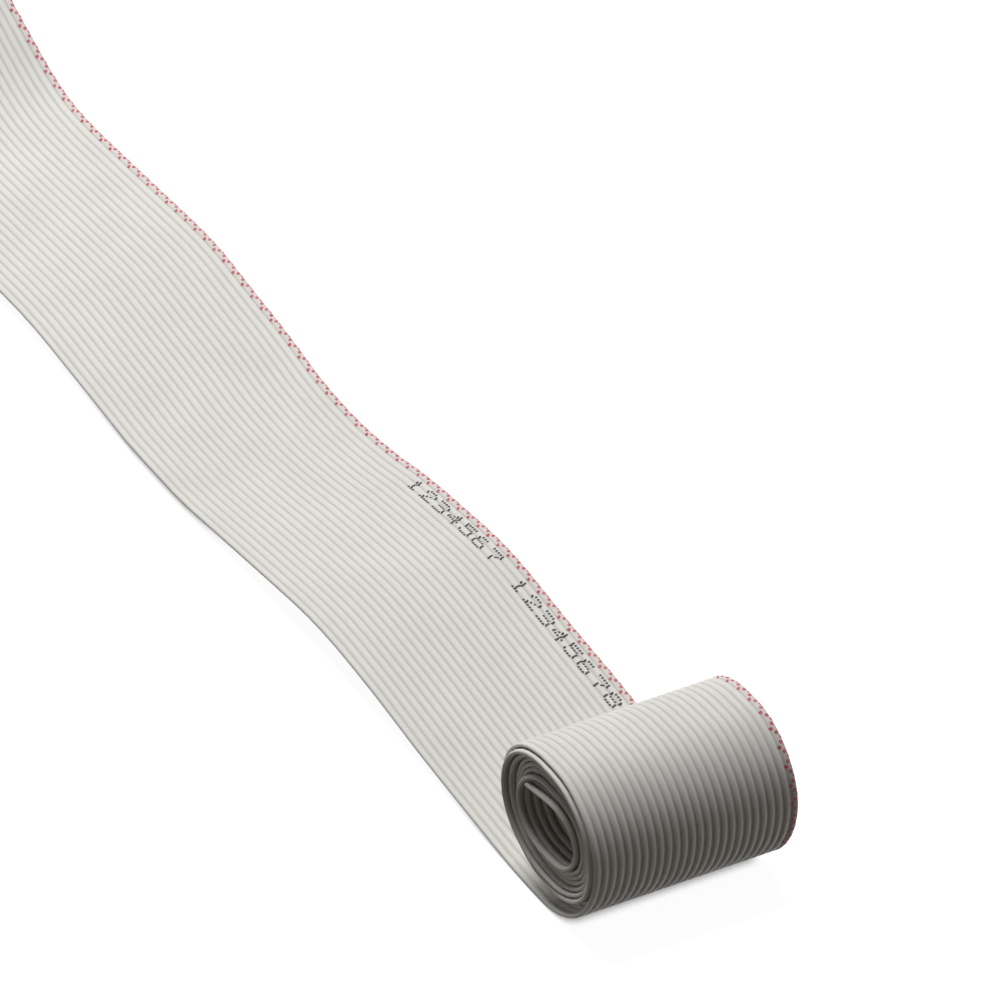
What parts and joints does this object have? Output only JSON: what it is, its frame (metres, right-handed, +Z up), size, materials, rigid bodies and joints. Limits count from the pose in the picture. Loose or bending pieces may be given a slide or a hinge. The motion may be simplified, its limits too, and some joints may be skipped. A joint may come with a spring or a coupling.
{
  "type": "ribbon cable",
  "caption": "Flat grey ribbon cable: a row of conductors in one ridged plastic strip with a marked edge, lying in low waves and rolled up loosely at one end.",
  "frame": {"origin": "centre of the cable's outline on the table it lies on", "axes": "+X along the run towards the roll, +Y across the cable to the marked edge, +Z up"},
  "size_m": [0.2344, 0.033, 0.0278],
  "materials": {
    "grey_pvc": "satin soft PVC, light warm grey",
    "copper": "bare stranded copper, cut"
  },
  "bodies": {
    "root": {"insulation": "grey_pvc", "conductor_01": "copper", "conductor_02": "copper", "conductor_03": "copper", "conductor_04": "copper", "conductor_05": "copper", "conductor_06": "copper", "conductor_07": "copper", "conductor_08": "copper", "conductor_09": "copper", "conductor_10": "copper", "conductor_11": "copper", "conductor_12": "copper", "conductor_13": "copper", "conductor_14": "copper", "conductor_15": "copper", "conductor_16": "copper", "conductor_17": "copper", "conductor_18": "copper", "conductor_19": "copper", "conductor_20": "copper", "conductor_21": "copper", "conductor_22": "copper", "conductor_23": "copper", "conductor_24": "copper", "conductor_25": "copper", "conductor_26": "copper"}
  },
  "joints": []
}
